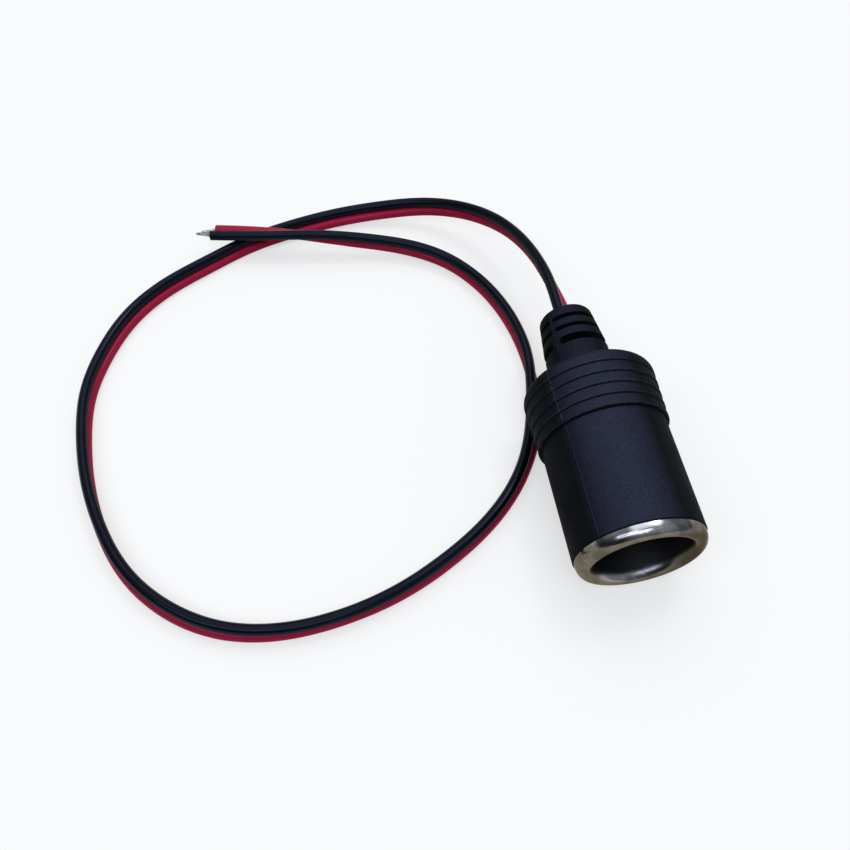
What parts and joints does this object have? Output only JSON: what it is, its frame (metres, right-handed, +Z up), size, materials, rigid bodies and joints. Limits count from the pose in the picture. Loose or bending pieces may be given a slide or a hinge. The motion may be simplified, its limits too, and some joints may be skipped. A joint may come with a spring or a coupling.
{
  "type": "car power socket with lead",
  "caption": "round black moulded power socket for a car plug, open steel well in front, slotted strain relief behind, with a thin black and red lead that ends in bare tinned wires",
  "frame": {"origin": "on the floor under the middle of the socket without its lead: the middle of its box in X and Y, and its lowest point in Z", "axes": "+Z up, the socket lies on its side on the floor with its length along Y, the mouth towards -Y and the lead's exit towards +Y; it lies on its front edge and its shoulder, so its axis drops 1.6 degrees towards the mouth; +X is to the right seen from the mouth, and the lead runs round to -X"},
  "size_m": [0.1414, 0.1297, 0.032],
  "materials": {
    "black_moulding": "matte black soft vinyl with a fine grain",
    "plated_steel": "drawn steel with a bright plating",
    "insulating_board": "brown laminated board",
    "contact_brass": "plain brass",
    "solder": "dull tin solder",
    "tinned_copper": "copper strands wetted with tin",
    "black_insulation": "smooth black vinyl",
    "red_insulation": "smooth crimson vinyl"
  },
  "bodies": {
    "root": {"moulded_shell": "black_moulding", "socket_barrel": "plated_steel", "front_insulator": "insulating_board", "centre_contact": "contact_brass", "rear_insulator": "insulating_board", "positive_tag": "contact_brass", "negative_tag": "plated_steel", "positive_solder": "solder", "negative_solder": "solder", "red_inner_end": "tinned_copper", "black_inner_end": "tinned_copper", "black_wire": "black_insulation", "red_wire": "red_insulation", "black_tinned_end": "tinned_copper", "red_tinned_end": "tinned_copper"}
  },
  "joints": []
}
